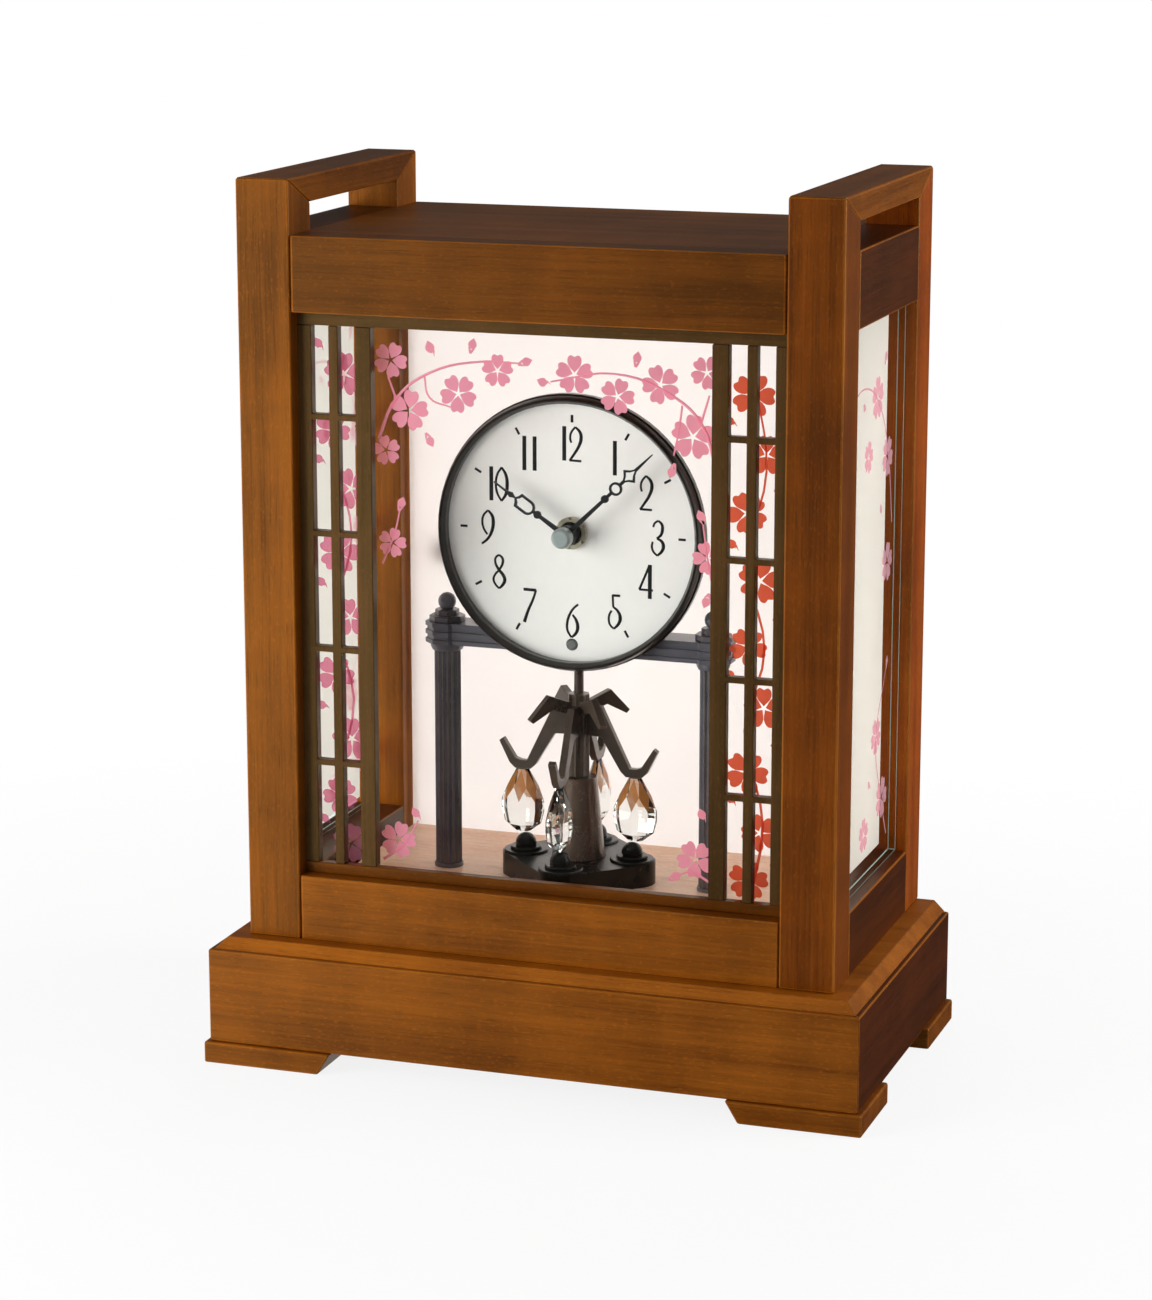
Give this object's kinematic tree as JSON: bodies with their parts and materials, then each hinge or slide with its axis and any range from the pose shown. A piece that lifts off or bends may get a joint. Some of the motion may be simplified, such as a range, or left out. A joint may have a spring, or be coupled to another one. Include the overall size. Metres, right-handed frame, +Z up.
{
  "type": "table clock",
  "caption": "Glazed wooden table clock with carrying handles, a lattice front, a round dial on columns and a turning crystal pendulum.",
  "frame": {"origin": "on the table under the middle of the feet", "axes": "+X to the clock's right as seen from the front, +Y to the back, +Z up"},
  "size_m": [0.2538, 0.1406, 0.33],
  "materials": {
    "case_wood": "satin lacquer over stained mid-brown wood",
    "floor_wood": "satin lacquer over pale reddish wood",
    "clear_glass": "clear polished pane",
    "frosted_pane": "pale opal sheet",
    "dark_bronze": "dark bronze lacquer, satin",
    "black_moulding": "moulded black, satin",
    "grey_moulding": "moulded grey, satin",
    "dial_white": "matt white print",
    "hand_black": "black lacquer, satin",
    "bright_steel": "fine satin",
    "brass": "pale plated brass",
    "crystal": "clear cut crystal"
  },
  "bodies": {
    "case": {"foot_front_left": "case_wood", "foot_front_right": "case_wood", "foot_rear_left": "case_wood", "foot_rear_right": "case_wood", "plinth_front": "case_wood", "plinth_rear": "case_wood", "plinth_left": "case_wood", "plinth_right": "case_wood", "plinth_top": "case_wood", "speaker": "black_moulding", "post_front_left": "case_wood", "post_front_right": "case_wood", "post_rear_left": "case_wood", "post_rear_right": "case_wood", "handle_left": "case_wood", "handle_right": "case_wood", "upper_rail_left": "case_wood", "upper_rail_right": "case_wood", "lower_rail_left": "case_wood", "lower_rail_right": "case_wood", "front_top_rail": "case_wood", "front_bottom_rail": "case_wood", "top_panel": "case_wood", "floor_board": "floor_wood", "lattice_left": "case_wood", "lattice_right": "case_wood", "lattice_top_strip": "case_wood", "lattice_bottom_strip": "case_wood", "front_glass": "clear_glass", "side_glass_left": "clear_glass", "side_glass_right": "clear_glass", "column_left": "dark_bronze", "column_right": "dark_bronze", "crossbar": "dark_bronze", "finial_left": "dark_bronze", "finial_right": "dark_bronze", "dial_bezel": "dark_bronze", "dial_plate": "dial_white", "light_sensor": "grey_moulding", "movement_case": "black_moulding", "battery": "grey_moulding", "centre_nut": "brass", "pendulum_base": "black_moulding", "pendulum_cone": "dark_bronze"},
    "door": {"rear_door": "frosted_pane", "door_pivot_top": "bright_steel", "door_pivot_bottom": "bright_steel", "door_knob": "brass"},
    "minute": {"minute_hand": "hand_black", "minute_arbor": "bright_steel", "hand_cap": "bright_steel", "set_knob": "black_moulding"},
    "hour": {"hour_hand": "hand_black"},
    "pendulum": {"pendulum_spider": "dark_bronze", "crystal_front": "crystal", "crystal_rear": "crystal", "crystal_left": "crystal", "crystal_right": "crystal"},
    "demo": {"demo_button": "grey_moulding"},
    "volume": {"volume_knob": "grey_moulding"}
  },
  "joints": [
    {"name": "door_swing", "type": "hinge", "parent": "case", "child": "door", "pos_m": [0.086, 0.0545, 0.17], "axis": [0, 0, -1], "range_deg": [0, 100]},
    {"name": "minute_turn", "type": "hinge", "parent": "case", "child": "minute", "pos_m": [0, 0, 0.2], "axis": [0, 1, 0], "continuous": true},
    {"name": "hour_turn", "type": "hinge", "parent": "case", "child": "hour", "pos_m": [0, 0, 0.2], "axis": [0, 1, 0], "continuous": true},
    {"name": "pendulum_turn", "type": "hinge", "parent": "case", "child": "pendulum", "pos_m": [0, -0.007, 0.1], "axis": [0, 0, 1], "continuous": true},
    {"name": "demo_press", "type": "slide", "parent": "case", "child": "demo", "axis": [0, -1, 0], "range_m": [0, 0.0015], "stiffness_N_per_m": 300},
    {"name": "volume_turn", "type": "hinge", "parent": "case", "child": "volume", "pos_m": [0.019, 0.015, 0.214], "axis": [0, -1, 0], "range_deg": [-140, 140]}
  ],
  "couplings": [
    {"joint": "hour_turn", "follows": "minute_turn", "ratio": 0.083333}
  ]
}
